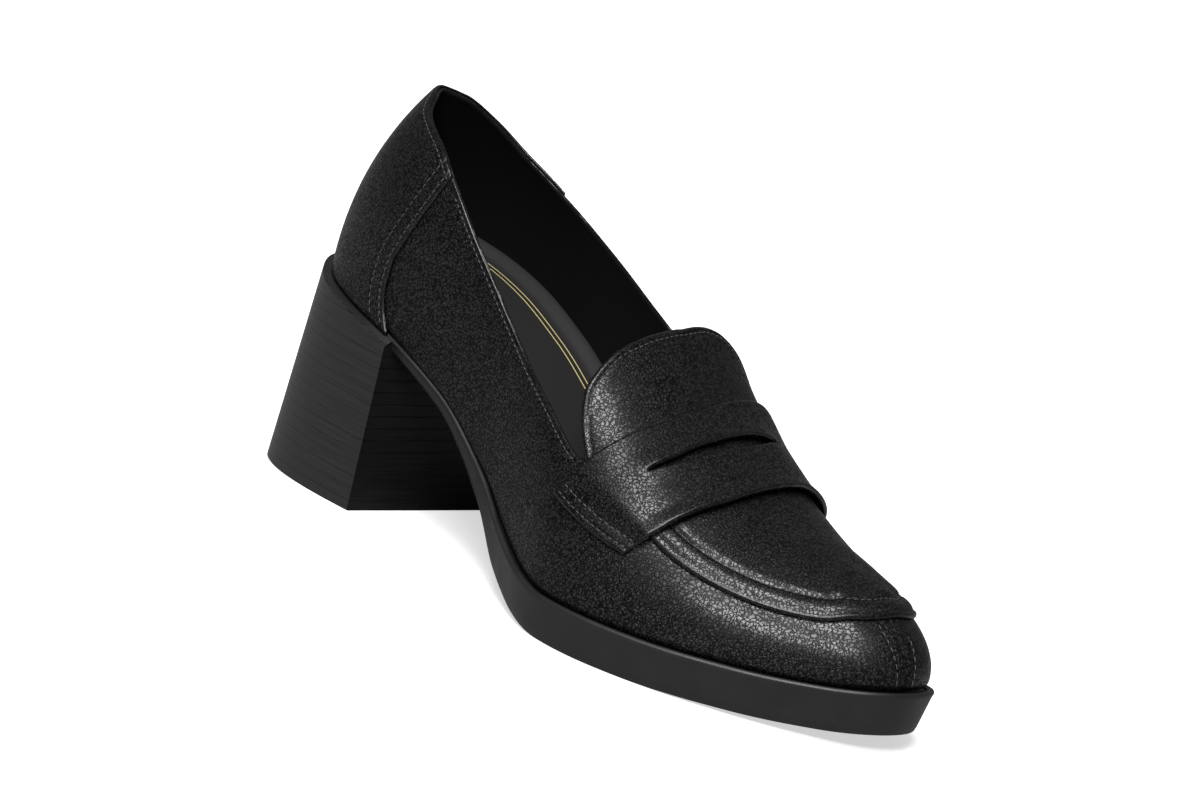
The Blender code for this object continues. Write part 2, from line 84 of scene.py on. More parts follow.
sectionTable = np.array((
    (0.022, 0.000, 0.000, 0.130, 1.13, 0.62, 0.018, 0.06, 0.06, 0.658, 0.658, 0.30),
    (0.036, 0.120, 0.120, 0.150, 1.13, 0.62, 0.018, 0.10, 0.10, 0.642, 0.646, 0.30),
    (0.080, 0.232, 0.232, 0.175, 1.12, 0.62, 0.023, 0.18, 0.18, 0.600, 0.585, 0.30),
    (0.150, 0.300, 0.300, 0.210, 1.10, 0.62, 0.025, 0.26, 0.24, 0.580, 0.515, 0.28),
    (0.240, 0.325, 0.305, 0.265, 1.08, 0.62, 0.030, 0.30, 0.28, 0.500, 0.480, 0.25),
    (0.340, 0.330, 0.280, 0.340, 1.07, 0.62, 0.040, 0.33, 0.35, 0.405, 0.460, 0.20),
    (0.440, 0.375, 0.295, 0.425, 1.08, 0.60, 0.045, 0.35, 0.38, 0.370, 0.465, 0.20),
    (0.530, 0.475, 0.360, 0.500, 1.07, 0.56, 0.030, 0.38, 0.41, 0.388, 0.500, 0.25),
    (0.610, 0.565, 0.415, 0.570, 0.96, 0.54, 0.015, 0.38, 0.43, 0.405, 0.540, 0.38),
    (0.690, 0.575, 0.425, 0.640, 0.80, 0.54, 0.010, 0.38, 0.33, 1.000, 1.000, 0.405),
    (0.780, 0.500, 0.390, 0.710, 0.66, 0.54, 0.012, 0.34, 0.24, 1.000, 1.000, 0.344),
    (0.865, 0.375, 0.315, 0.770, 0.552, 0.54, 0.015, 0.27, 0.21, 1.000, 1.000, 0.331),
    (0.935, 0.240, 0.228, 0.815, 0.496, 0.56, 0.020, 0.21, 0.20, 1.000, 1.000, 0.360),
    (0.978, 0.125, 0.130, 0.837, 0.470, 0.58, 0.028, 0.19, 0.19, 1.000, 1.000, 0.452),
    (0.992, 0.000, 0.000, 0.845, 0.462, 0.60, 0.032, 0.19, 0.19, 1.000, 1.000, 0.510),
))
toeRow = len(sectionTable) - 1
bridgeColumns = ("share", "tip", "upper", "slit", "joint", "lower")
bridgeTables = {
    -1: np.array((
        (0.260, 8.60, 7.86, 8.70, 9.00, 9.31),
        (0.340, 8.45, 8.02, 8.82, 9.12, 9.49),
        (0.410, 8.20, 8.21, 8.93, 9.22, 9.65),
        (0.450, 7.95, 8.29, 8.98, 9.29, 9.73),
        (0.500, 7.73, 8.38, 9.04, 9.38, 9.83),
        (0.560, 7.60, 8.48, 9.12, 9.48, 9.95),
        (0.710, 7.57, 8.70, 9.35, 9.72, 10.22),
        (0.810, 7.59, 8.79, 9.42, 9.83, 10.33),
        (0.890, 7.58, 8.80, 9.46, 9.87, 10.39),
        (1.000, 7.52, 8.71, 9.44, 9.89, 10.42),
    )),
    1: np.array((
        (0.260, 8.60, 7.90, 8.66, 8.98, 9.22),
        (0.340, 8.48, 7.96, 8.72, 9.06, 9.34),
        (0.410, 8.24, 8.03, 8.78, 9.14, 9.46),
        (0.450, 8.02, 8.07, 8.82, 9.19, 9.54),
        (0.500, 7.80, 8.13, 8.87, 9.26, 9.64),
        (0.560, 7.64, 8.20, 8.93, 9.36, 9.76),
        (0.710, 7.46, 8.33, 9.10, 9.58, 10.01),
        (0.810, 7.41, 8.46, 9.23, 9.72, 10.18),
        (0.890, 7.43, 8.58, 9.34, 9.80, 10.31),
        (1.000, 7.52, 8.71, 9.44, 9.89, 10.42),
    )),
}
strapEnd = bridgeTables[-1][0][0]
slitEnds = {-1: 0.56, 1: 0.78}
tongueSide = 0.415
counterHeights = (0.00, 0.08, 0.17, 0.29, 0.42, 0.60, 0.80, 1.00)
counterFronts = (3.73, 3.58, 3.49, 3.48, 3.55, 3.65, 3.73, 3.77)


def hermite(start, end, startSlope, endSlope, t):
    blend = t * t * (3 - 2 * t)
    return (start + (end - start) * blend + startSlope * t * (1 - t) ** 2
            - endSlope * t * t * (1 - t))


def ease(t):
    t = np.clip(t, 0, 1)
    return t * t * (3 - 2 * t)


def unit(vectors):
    return vectors / np.linalg.norm(vectors, axis=-1, keepdims=True)


def around(value, highest, reach=0.01):  # just after and just before, to read a slope
    return np.minimum(value + reach, highest), np.maximum(value - reach, 0)


def smoothCurve(xs, ys, at):  # never overshoots its points
    xs, ys = np.asarray(xs, float), np.asarray(ys, float)
    steps = np.diff(xs)
    slopes = np.diff(ys) / steps
    tangents = np.zeros(len(xs))
    for k in range(1, len(xs) - 1):
        if slopes[k - 1] * slopes[k] > 0:
            near = 2 * steps[k] + steps[k - 1]
            far = steps[k] + 2 * steps[k - 1]
            tangents[k] = (near + far) / (near / slopes[k - 1] + far / slopes[k])
    tangents[0], tangents[-1] = slopes[0], slopes[-1]
    at = np.clip(at, xs[0], xs[-1])
    k = np.clip(np.searchsorted(xs, at, side="right") - 1, 0, len(xs) - 2)
    return hermite(ys[k], ys[k + 1], tangents[k] * steps[k], tangents[k + 1] * steps[k],
                   (at - xs[k]) / steps[k])


def sectionAt(name, row, mirror=1):  # past both ends the values go on mirrored
    values = sectionTable[:, sectionColumns.index(name)]
    padded = np.concatenate([[mirror * values[1]], values, [mirror * values[-2]]])
    k = np.clip(np.floor(row).astype(int), 0, toeRow - 1)
    slope = (padded[2:] - padded[:-2]) / 2
    return hermite(values[k], values[k + 1], slope[k], slope[k + 1], row - k)


def profileAt(name, along):
    return smoothCurve(profileTable[:, 0], profileTable[:, profileColumns.index(name)], along)


def soleTop(along):
    climb = shoe["seatHeight"] - shoe["soleEdge"]
    return (shoe["soleEdge"] + profileAt("seat", along) * climb
            + profileAt("spring", along) * shoe["toeSpring"])


def soleThickness(along):
    return shoe["shankEdge"] + profileAt("edge", along) * (shoe["soleEdge"] - shoe["shankEdge"])


def toX(along):
    return along * shoe["length"] - shoe["heelStart"] - shoe["heelLength"] / 2


def toAlong(x):
    return (x + shoe["heelStart"] + shoe["heelLength"] / 2) / shoe["length"]


def feather(row, side):  # plan of the upper's lower edge, and the way out of the foot
    name = "outer" if side < 0 else "inner"

    def plan(at):
        across = sectionAt(name, at, -1)
        return np.stack([toX(sectionAt("foot", at)), side * shoe["ballWidth"] * across], -1)

    after, before = around(row, toeRow)
    ahead = plan(after) - plan(before)
    out = np.stack([-side * ahead[..., 1], side * ahead[..., 0]], -1)
    out[row <= 0] = (-1, 0)
    out[row >= toeRow] = (1, 0)
    return plan(row), unit(out)


def crestHeight(row):
    return soleTop(sectionAt("crest", row)) + sectionAt("height", row) * shoe["instepHeight"]


def crestIncline(row):
    high, low = around(row, toeRow)
    run = toX(sectionAt("crest", high)) - toX(sectionAt("crest", low))
    return (crestHeight(high) - crestHeight(low)) / run


def lastPoint(row, side, share):  # share 0 is the feather line, 1 the top centre line
    row, share = np.broadcast_arrays(np.asarray(row, float), np.asarray(share, float))
    base, out = feather(row, side)
    footZ = soleTop(sectionAt("foot", row)) + shoe["clearance"]
    crestX = toX(sectionAt("crest", row))
    crestZ = crestHeight(row)
    swell = sectionAt("swell", row) * shoe["ballWidth"]
    reach = sectionAt("reachOut" if side < 0 else "reachIn", row) * shoe["ballWidth"]
    start = np.stack([base[..., 0], base[..., 1], footZ], -1)
    rise = start + np.stack([out[..., 0] * swell, out[..., 1] * swell,
                             sectionAt("wall", row) * (crestZ - footZ)], -1)
    end = np.stack([crestX, np.zeros_like(crestX), crestZ], -1)
    ahead = out[..., 0] ** 3
    aside = side * np.sqrt(1 - ahead ** 2)
    over = end + np.stack([ahead * reach, aside * reach, ahead * reach * crestIncline(row)], -1)
    t = share[..., None]
    return ((1 - t) ** 3 * start + 3 * (1 - t) ** 2 * t * rise
            + 3 * (1 - t) * t ** 2 * over + t ** 3 * end)


def lastNormal(row, side, share):
    row, share = np.broadcast_arrays(np.asarray(row, float), np.asarray(share, float))
    (ahead, behind), (above, below) = around(row, toeRow), around(share, 1)
    along = lastPoint(ahead, side, share) - lastPoint(behind, side, share)
    up = lastPoint(row, side, above) - lastPoint(row, side, below)
    normal = -side * np.cross(along, up)
    normal[(row <= 0) | (row >= toeRow), 1] = 0
    crest = share >= 1
    slope = crestIncline(row)[crest]
    normal[crest] = np.stack([-slope, np.zeros_like(slope), np.ones_like(slope)], -1)
    return unit(normal)


def onLast(row, side, share):
    return lastPoint(row, side, share), lastNormal(row, side, share)


def overLast(row, side, share, lift):
    row, share, lift = np.broadcast_arrays(row, share, lift)
    return lastPoint(row, side, share) + lastNormal(row, side, share) * lift[..., None]


def collarEdge(row, side):
    name = "edgeOut" if side < 0 else "edgeIn"
    return smoothCurve(np.arange(toeRow + 1), sectionTable[:, sectionColumns.index(name)], row)


def apronSeam(row):
    return sectionAt("seam", row)


def bridgeAt(name, side, share):
    table = bridgeTables[side]
    return smoothCurve(table[:, 0], table[:, bridgeColumns.index(name)], share)


def rowsFor(distance, side, share):  # rows that a distance along the shoe takes at the strap
    joint = bridgeAt("joint", side, share)
    pace = np.linalg.norm(lastPoint(joint + 0.5, side, share)
                          - lastPoint(joint - 0.5, side, share), axis=-1)
    return distance / pace


# Meshes: grids of points over the last, closed into shells with rounded edges
def lineLengths(points, axis):
    return np.linalg.norm(np.diff(points, axis=axis), axis=-1).sum(axis)


def edgeSteps(radius, beyond):  # distances from an edge, close together where it is round
    turn = np.linspace(0, math.pi / 2, 6)
    return np.concatenate([radius * (1 - np.cos(turn)), np.array(beyond) * millimetre])


def spread(lengths, startSteps, endSteps, count):  # places on lines of these lengths, 0 to 1
    lengths = np.atleast_1d(lengths)[:, None]
    first = np.asarray(startSteps)[None] / lengths
    final = 1 - np.asarray(endSteps)[None, ::-1] / lengths
    middle = first[:, -1:] + (final[:, :1] - first[:, -1:]) * np.linspace(0, 1, count + 2)[1:-1]
    return np.concatenate([first, middle, final], 1)


def reachAlong(points):
    steps = np.linalg.norm(np.diff(points, axis=0), axis=1)
    return np.concatenate([[0], np.cumsum(steps)])


def valuesAt(where, reach, values):
    return np.stack([np.interp(where, reach, values[:, k]) for k in range(3)], 1)


def denseLine(points, spacing=0.00012):
    reach = reachAlong(points)
    at = np.linspace(0, reach[-1], max(2, int(reach[-1] / spacing)))
    return valuesAt(at, reach, points)


def distanceTo(points, lines):  # from every point to the nearest of these lines
    dense = np.concatenate([denseLine(line) for line in lines])
    tree = kdtree.KDTree(len(dense))
    for k, place in enumerate(dense):
        tree.insert(place, k)
    tree.balance()
    flat = points.reshape(-1, 3)
    found = np.array([tree.find(place)[2] for place in flat])
    return found.reshape(points.shape[:-1])


def roundOff(distance, radius):  # how far a rounded edge falls away near its rim
    inside = np.clip(radius - distance, 0, radius)
    return radius - np.sqrt(np.maximum(radius ** 2 - inside ** 2, 0))


def hump(distance, centre, width):
    return np.exp(-((distance - centre) / width) ** 2)


seamPaths = {}


def keepPath(name, surface, normal, distance, level, fromEnd=False):  # a seam at this distance
    points, normals = [], []
    for line, ways, reach in zip(surface, normal, distance):
        order = range(len(reach) - 2, -1, -1) if fromEnd else range(len(reach) - 1)
        for k in order:
            if (reach[k] - level) * (reach[k + 1] - level) <= 0 and reach[k] != reach[k + 1]:
                part = (level - reach[k]) / (reach[k + 1] - reach[k])
                points.append(line[k] + (line[k + 1] - line[k]) * part)
                normals.append(ways[k] + (ways[k + 1] - ways[k]) * part)
                break
    seamPaths.setdefault(name, []).append((np.array(points), np.array(normals)))


class Shell:  # collects grids of outer and inner points and closes them into one mesh
    def __init__(self):
        self.points, self.faces, self.marks, self.values = [], [], [], []
        self.count = 0

    def addPoints(self, grid, values=None):
        index = self.count + np.arange(grid[..., 0].size).reshape(grid.shape[:-1])
        self.points.append(grid.reshape(-1, 3))
        filled = np.zeros(grid.shape[:-1]) if values is None else values
        self.values.append(filled.reshape(-1))
        self.count += index.size
        return index

    def addFaces(self, a, b, c, d, flip, mark):
        quads = np.stack([a, b, c, d], -1).reshape(-1, 4)
        self.faces.append(quads[:, ::-1] if flip else quads)
        self.marks.append(np.full(len(quads), mark))

    def addGrid(self, index, flip, mark=0):
        self.addFaces(index[:-1, :-1], index[1:, :-1], index[1:, 1:], index[:-1, 1:], flip, mark)

    def addWall(self, outer, inner, flip, mark=0):
        self.addFaces(outer[:-1], inner[:-1], inner[1:], outer[1:], flip, mark)

    def addShell(self, outer, inner, side, walls, innerMark=0, values=None):
        top, bottom = self.addPoints(outer, values), self.addPoints(inner, values)
        flip = side > 0
        self.addGrid(top, flip)
        self.addGrid(bottom, not flip, innerMark)
        for name, line in (("start", np.s_[0, :]), ("end", np.s_[-1, :]),
                           ("low", np.s_[:, 0]), ("high", np.s_[:, -1])):
            if name in walls:
                self.addWall(top[line], bottom[line], flip ^ (name in ("start", "high")))

    def build(self, name, looks, attribute=None):
        mesh = bpy.data.meshes.new(name)
        faces = np.concatenate(self.faces)
        mesh.from_pydata(np.concatenate(self.points).tolist(), [], faces.tolist())
        mesh.polygons.foreach_set("material_index", np.concatenate(self.marks).astype(np.int32))
        if attribute:
            layer = mesh.attributes.new(attribute, "FLOAT", "POINT")
            layer.data.foreach_set("value", np.concatenate(self.values).astype(np.float32))
        for look in looks:
            mesh.materials.append(look)
        made = bpy.data.objects.new(name, mesh)
        bpy.context.scene.collection.objects.link(made)
        bpy.ops.object.select_all(action="DESELECT")
        bpy.context.view_layer.objects.active = made
        made.select_set(True)
        bpy.ops.object.mode_set(mode="EDIT")
        bpy.ops.mesh.select_all(action="SELECT")
        bpy.ops.mesh.remove_doubles(threshold=1e-6)
        bpy.ops.mesh.delete_loose()
        bpy.ops.object.mode_set(mode="OBJECT")
        bpy.ops.object.shade_smooth()
        made.select_set(False)
        return made


def fit(piece, slot, *nodes):
    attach(piece, "root")
    if nodes:
        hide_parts(*nodes)
    return piece


# Shader pieces
def grey(level):
    return (level, level, level)


def addNode(tree, kind, inputs=None, **settings):
    made = tree.nodes.new("ShaderNode" + kind)
    for key, value in settings.items():
        setattr(made, key, value)
    for key, value in (inputs or {}).items():
        if isinstance(value, bpy.types.NodeSocket):
            tree.links.new(value, made.inputs[key])
        else:
            made.inputs[key].default_value = value
    return made


def newGroup(name, inputs, outputs):
    group = bpy.data.node_groups.new(name, "ShaderNodeTree")
    for label, kind, value in inputs:
        socket = group.interface.new_socket(label, in_out="INPUT", socket_type=kind)
        if value is not None:
            socket.default_value = value
    for label, kind in outputs:
        group.interface.new_socket(label, in_out="OUTPUT", socket_type=kind)
    return group, group.nodes.new("NodeGroupInput"), group.nodes.new("NodeGroupOutput")


def noise(tree, place, scale, detail, **inputs):
    given = {"Vector": place, "Scale": scale, "Detail": detail, **inputs}
    return addNode(tree, "TexNoise", given).outputs


def math2(tree, operation, *values):
    return addNode(tree, "Math", dict(enumerate(values)), operation=operation).outputs[0]


def vector(tree, operation, given):
    return addNode(tree, "VectorMath", given, operation=operation).outputs[0]


def ramp(tree, value, low, high, toLow=0.0, toHigh=1.0):
    given = {"Value": value, "From Min": low, "From Max": high, "To Min": toLow, "To Max": toHigh}
    made = addNode(tree, "MapRange", given, interpolation_type="SMOOTHSTEP")
    return made.outputs["Result"]


def makeGrainGroup():  # pebbled leather: irregular domed cells with narrow creases between them
    group, given, result = newGroup(
        "leatherGrain",
        [("Vector", "NodeSocketVector", None), ("Cells per metre", "NodeSocketFloat", 900.0)],
        [("Height", "NodeSocketFloat"), ("Dome", "NodeSocketFloat"), ("Patch", "NodeSocketFloat")])
    place, cells = given.outputs["Vector"], given.outputs["Cells per metre"]
    scaled = vector(group, "SCALE", {0: place, "Scale": cells})
    wander = noise(group, scaled, 0.7, 2.0)
    centred = vector(group, "SUBTRACT", {0: wander["Color"], 1: grey(0.5)})
    pushed = vector(group, "SCALE", {0: centred, "Scale": 1.9})
    warped = vector(group, "ADD", {0: scaled, 1: pushed})
    fromCrease = addNode(group, "TexVoronoi", {"Vector": warped, "Scale": 1.0},
                         feature="DISTANCE_TO_EDGE").outputs["Distance"]
    fine = noise(group, scaled, 2.4, 1.0)
    patch = noise(group, scaled, 0.09, 3.0)
    dome = ramp(group, fromCrease, 0.06, 0.22)
    crown = ramp(group, fromCrease, 0.0, 0.36)
    height = math2(group, "ADD", crown, math2(group, "MULTIPLY", fine["Fac"], 0.16))
    for label, value in (("Height", height), ("Dome", dome), ("Patch", patch["Fac"])):
        group.links.new(value, result.inputs[label])
    return group


grainGroup = makeGrainGroup()


def newLook(name, roughness, coatRoughness=0.2, specular=0.5):
    look = bpy.data.materials.new(name)
    look.use_nodes = True
    tree = look.node_tree
    shader = tree.nodes["Principled BSDF"]
    shader.inputs["Roughness"].default_value = roughness
    shader.inputs["Coat Roughness"].default_value = coatRoughness
    shader.inputs["Specular IOR Level"].default_value = specular
    place = addNode(tree, "TexCoord")
    return look, tree, shader, place.outputs["Object"]


def mixColour(tree, amount, first, second):
    first, second = (end if isinstance(end, bpy.types.NodeSocket) else (*end, 1)
                     for end in (first, second))
    given = {"Factor": amount, 6: first, 7: second}
    return addNode(tree, "Mix", given, data_type="RGBA").outputs[2]


def dress(tree, shader, colour, roughness, height, strength, depth):
    tree.links.new(colour, shader.inputs["Base Color"])
    if roughness is not None:
        tree.links.new(roughness, shader.inputs["Roughness"])
    bump = addNode(tree, "Bump", {"Height": height, "Strength": strength, "Distance": depth})
    tree.links.new(bump.outputs["Normal"], shader.inputs["Normal"])


leatherLook = {
    "colour": (0.0072, 0.0072, 0.0075),
    # painted shade: crease colour, near black, much darker than the leather's own black
    "paintedCreaseShade": grey(0.0004),
    "roughness": (0.34, 0.46),
    "gloss": 0.80,
    "cells": 980.0,
    "depth": 0.00014,
}


def makeLeather():
    look, tree, shader, place = newLook("pebbledLeather", 0.4, coatRoughness=0.27, specular=0.16)
    grain = addNode(tree, "Group", node_tree=grainGroup)
    tree.links.new(place, grain.inputs["Vector"])
    grain.inputs["Cells per metre"].default_value = leatherLook["cells"]
    rim = addNode(tree, "Attribute", attribute_name="rimDistance").outputs["Fac"]
    inside = ramp(tree, rim, 0.0004, 0.0014)  # a turned edge is stretched smooth
    edge = math2(tree, "SUBTRACT", 1.0, inside)
    # painted shade: the creases between the domes are coloured near black for the shade that falls
    # in them
    colour = mixColour(tree, grain.outputs["Dome"], leatherLook["paintedCreaseShade"], leatherLook["colour"])
    rough = ramp(tree, grain.outputs["Patch"], 0.3, 0.7, *leatherLook["roughness"])
    sheen = math2(tree, "SUBTRACT", rough, math2(tree, "MULTIPLY", edge, 0.10))
    wear = ramp(tree, grain.outputs["Patch"], 0.25, 0.75,
                leatherLook["gloss"] * 0.75, leatherLook["gloss"])
    shown = math2(tree, "MAXIMUM", grain.outputs["Dome"], math2(tree, "MULTIPLY", edge, 0.55))
    tree.links.new(math2(tree, "MULTIPLY", shown, wear), shader.inputs["Coat Weight"])
    height = math2(tree, "MULTIPLY", grain.outputs["Height"], inside)
    dress(tree, shader, colour, sheen, height, 1.0, leatherLook["depth"])
    return look


def makeLining():
    look, tree, shader, place = newLook("darkLining", 0.85, specular=0.08)
    grain = noise(tree, place, 1800.0, 3.0)["Fac"]
    colour = mixColour(tree, grain, grey(0.0012), grey(0.0036))
    dress(tree, shader, colour, None, grain, 0.5, 0.00008)
    return look


def makeThread():
    look, tree, shader, place = newLook("waxedThread", 0.42)
    fibre = noise(tree, place, 5200.0, 2.0)["Fac"]
    colour = mixColour(tree, fibre, grey(0.014), grey(0.060))
    dress(tree, shader, colour, None, fibre, 0.6, 0.00006)
    return look


def makeRubber():
    look, tree, shader, place = newLook("mouldedRubber", 0.5, specular=0.34)
    fine = noise(tree, place, 2600.0, 4.0)["Fac"]
    broad = noise(tree, place, 90.0, 3.0)["Fac"]
    colour = mixColour(tree, broad, (0.008, 0.008, 0.0085), grey(0.014))
    dress(tree, shader, colour, ramp(tree, broad, 0.3, 0.7, 0.36, 0.46), fine, 0.5, 0.00006)
    return look


heelLook = {
    "layer": 0.0036,
    "sway": 0.0006,
    "line": 0.07,
    "colour": grey(0.006),
    "brush": grey(0.018),
    "gap": grey(0.002),
    "grain": (38.0, 38.0, 3200.0),
}


def makeStackedHeel(name, paintedShade, specular):
    look, tree, shader, place = newLook(name, 0.36, specular=specular)
    stretched = vector(tree, "MULTIPLY", {0: place, 1: heelLook["grain"]})
    brush = noise(tree, stretched, 1.0, 4.0, Roughness=0.6)["Fac"]
    sway = noise(tree, place, 60.0, 1.0)["Fac"]
    split = addNode(tree, "SeparateXYZ", {"Vector": place})
    drift = math2(tree, "MULTIPLY", sway, heelLook["sway"])
    shifted = math2(tree, "ADD", split.outputs["Z"], drift)
    layer = math2(tree, "FRACT", math2(tree, "DIVIDE", shifted, heelLook["layer"]))
    away = math2(tree, "ABSOLUTE", math2(tree, "SUBTRACT", layer, 0.5))
    line = ramp(tree, away, 0.5 - heelLook["line"], 0.5)
    tone = ramp(tree, brush, 0.3, 0.75)
    # colour scaled by paintedShade: below 1 this paints shade into a darker copy of the heel
    base = mixColour(tree, tone, [part * paintedShade for part in heelLook["colour"]],
                     [part * paintedShade for part in heelLook["brush"]])
    lined = mixColour(tree, math2(tree, "MULTIPLY", line, 0.6), base, heelLook["gap"])
    rough = ramp(tree, brush, 0.25, 0.8, 0.30, 0.46)
    height = math2(tree, "SUBTRACT", math2(tree, "MULTIPLY", brush, 0.35), line)
    dress(tree, shader, lined, rough, height, 0.6, 0.00009)
    return look


sockLook = {
    "colour": (0.0125, 0.0125, 0.0128),
    "band": (0.0155, 0.0155, 0.0158),
    "gold": (0.50, 0.42, 0.19),
    "bandWidth": 0.0058,
    "lines": ((0.0090, 0.00022), (0.0112, 0.00022)),  # distance from the rim, half width
}


def makeSock():
    look, tree, shader, place = newLook("greySock", 0.6, specular=0.28)
    rim = addNode(tree, "Attribute", attribute_name="rimDistance").outputs["Fac"]
    fine = noise(tree, place, 1500.0, 3.0)["Fac"]
    band = ramp(tree, rim, sockLook["bandWidth"] - 0.0002, sockLook["bandWidth"] + 0.0002, 1.0, 0.0)
    base = mixColour(tree, band, sockLook["colour"], sockLook["band"])
    gold = None
    for centre, half in sockLook["lines"]:
        away = math2(tree, "ABSOLUTE", math2(tree, "SUBTRACT", rim, centre))
        stripe = ramp(tree, away, half * 0.8, half * 1.2, 1.0, 0.0)
        gold = stripe if gold is None else math2(tree, "MAXIMUM", gold, stripe)
    gilt = mixColour(tree, gold, base, sockLook["gold"])
    dress(tree, shader, gilt, ramp(tree, gold, 0.0, 1.0, 0.55, 0.35), fine, 0.4, 0.00006)
    return look


leather = makeLeather()
lining = makeLining()
thread = makeThread()
rubber = makeRubber()
stacked = makeStackedHeel("stackedHeel", 1.0, 0.42)
# painted shade: the breast, facing away from the light under the arch, gets the heel colour
# darkened to 0.55
breast = makeStackedHeel("heelBreastPaintedShade", 0.55, 0.12)
sock = makeSock()
print("materials are ready")

# Upper: quarters and vamp with the folded topline, the tuck at the sole and the toe seam
upper = {
    "wall": 0.0016,
    "toplineRadius": 0.0008,
    "lines": 224,
    "stitchIn": 0.0017,
    "collarEnd": 8.4,  # rows
    "collarFade": 0.4,
    "toeSeamRow": 13.70,
    "toeSeamDepth": 0.00035,
    "toeStitchIn": 0.0013,
    "toeRowPace": 0.0058,
    "tuck": 0.0007,
}


def toplineOf(side, count=400):
    row = np.linspace(0, upper["collarEnd"], count)
    return row, collarEdge(row, side)


def alongCollar(row):
    return 1 - ease((row - upper["collarEnd"]) / upper["collarFade"])


def upperLift(row, side, share, fromTop, fromFoot):
    collar = alongCollar(row)
    lift = collar * (0.00012 * (1 - ease((fromTop - 0.0012) / 0.0014)))
    lift -= collar * 0.00016 * hump(fromTop, upper["stitchIn"], 0.00035)
    lift -= upper["tuck"] * np.clip(1 - fromFoot / 0.0022, 0, 1) ** 2
    ahead, behind = around(row, toeRow, 0.05)
    pace = np.linalg.norm(lastPoint(ahead, side, share)
                          - lastPoint(behind, side, share), axis=-1) / 0.1
    if side < 0:
        away = (row - upper["toeSeamRow"]) * pace
        front = row > 12
        lift -= front * upper["toeSeamDepth"] * hump(away, 0, 0.00045)
        lift += front * 0.00012 * hump(np.abs(away), upper["toeStitchIn"], 0.0009)
    return lift


def makeUpper():
    shell = Shell()
    row = np.linspace(0, toeRow, upper["lines"] + 1)
    steps = edgeSteps(upper["toplineRadius"], (1.1, 1.4, 1.7, 2.0, 2.4, 3.0))
    footSteps = np.array((0, 0.4, 0.8, 1.3, 1.8, 2.4)) * millimetre
    for side in (-1, 1):
        edge = collarEdge(row, side)
        rough = lastPoint(row[:, None], side, edge[:, None] * np.linspace(0, 1, 40))
        places = spread(lineLengths(rough, 1), footSteps, steps, 46)
        share = edge[:, None] * evenShares(rough, places)
        rows = np.repeat(row[:, None], share.shape[1], 1)
        base, normal = onLast(rows, side, share)
        topRow, topShare = toplineOf(side)
        fromTop = distanceTo(base, [lastPoint(topRow, side, topShare)])
        fromFoot = distanceTo(base, [base[:, 0]])
        lift = upperLift(rows, side, share, fromTop, fromFoot)
        fall = roundOff(fromTop, upper["toplineRadius"]) * alongCollar(rows)
        outer = base + normal * (lift - fall)[..., None]
        inner = base - normal * (upper["wall"] - fall * 0.95)[..., None]
        closed = row < 8.9
        far = np.where(rows < 8.9, fromTop, 0.01)
        shell.addShell(outer, inner, side, ("low",), innerMark=1, values=far)
        sewn = (row > 3.95) & (row < 8.0)
        keepPath("topline", outer[sewn], normal[sewn], fromTop[sewn], upper["stitchIn"],
                 fromEnd=True)
        rim = closed.sum()
        top = shell.addPoints(outer[:rim, -1:])[:, 0]
        bottom = shell.addPoints(inner[:rim, -1:])[:, 0]
        shell.addWall(top, bottom, not side > 0)
    return fit(shell.build("upper_leather", (leather, lining), "rimDistance"), "leather", "upper")


def evenShares(rough, places):  # turns places by length on each line into its own parameter
    steps = np.linalg.norm(np.diff(rough, axis=1), axis=-1)
    reach = np.concatenate([np.zeros((len(rough), 1)), np.cumsum(steps, 1)], 1)
    reach /= reach[:, -1:]
    at = np.linspace(0, 1, rough.shape[1])
    return np.stack([np.interp(place, line, at) for place, line in zip(places, reach)])


makeUpper()
print("upper is ready")

# Back counter: a thin overlay with a turned front edge
counter = {
    "wall": 0.00105,
    "sit": 0.00004,
    "radius": 0.0009,
    "topRadius": 0.0007,
    "frontStitches": (0.0016, 0.0058),
    "topStitch": 0.0017,
    "lines": 90,
}


def counterFront(height):
    return smoothCurve(counterHeights, counterFronts, height)


def makeCounter():
    shell = Shell()
    steps = edgeSteps(counter["radius"], (1.2, 1.5, 1.8, 2.1, 2.6, 3.2))
    topSteps = edgeSteps(counter["topRadius"], (1.1, 1.4, 1.7, 2.0, 2.4))
    edgeStitch, innerStitch = counter["frontStitches"]
    height = spread(0.060, [0, 0.0006, 0.0012], topSteps, 44)[0]
    for side in (-1, 1):
        front = counterFront(height)
        at = np.linspace(0, 1, 40)[:, None]
        rough = lastPoint(front[None] * at, side, height[None] * collarEdge(front[None] * at, side))
        places = spread(lineLengths(rough, 0), [0], steps, counter["lines"])
        u = evenShares(rough.transpose(1, 0, 2), places).T
        rows = front[None] * u
        share = height[None] * collarEdge(rows, side)
        base, normal = onLast(rows, side, share)
        fromFront = distanceTo(base, [base[-1]])
        fromTop = distanceTo(base, [base[:, -1]])
        lift = counter["wall"] - roundOff(fromFront, counter["radius"])
        lift -= roundOff(fromTop, counter["topRadius"])
        lift -= 0.00022 * hump(fromFront, edgeStitch, 0.00035)
        lift -= 0.00016 * hump(fromTop, counter["topStitch"], 0.00035)
        lift -= 0.00018 * hump(fromFront, innerStitch, 0.0004)
        lift = counter["sit"] + np.maximum(lift, 0.00008)
        outer = base + normal * lift[..., None]
        shell.addShell(outer, base + normal * counter["sit"], side, ("end", "low", "high"),
                       values=np.minimum(fromFront, fromTop))
        keepPath("topline", outer[:-2], normal[:-2], fromTop[:-2], counter["topStitch"],
                 fromEnd=True)
        for level in counter["frontStitches"]:
            keepPath("counter", outer.transpose(1, 0, 2)[2:-3], normal.transpose(1, 0, 2)[2:-3],
                     fromFront.T[2:-3], level, fromEnd=True)
    made = shell.build("back_counter_leather", (leather,), "rimDistance")
    return fit(made, "leather", "back_counter")


makeCounter()
print("counter is ready")

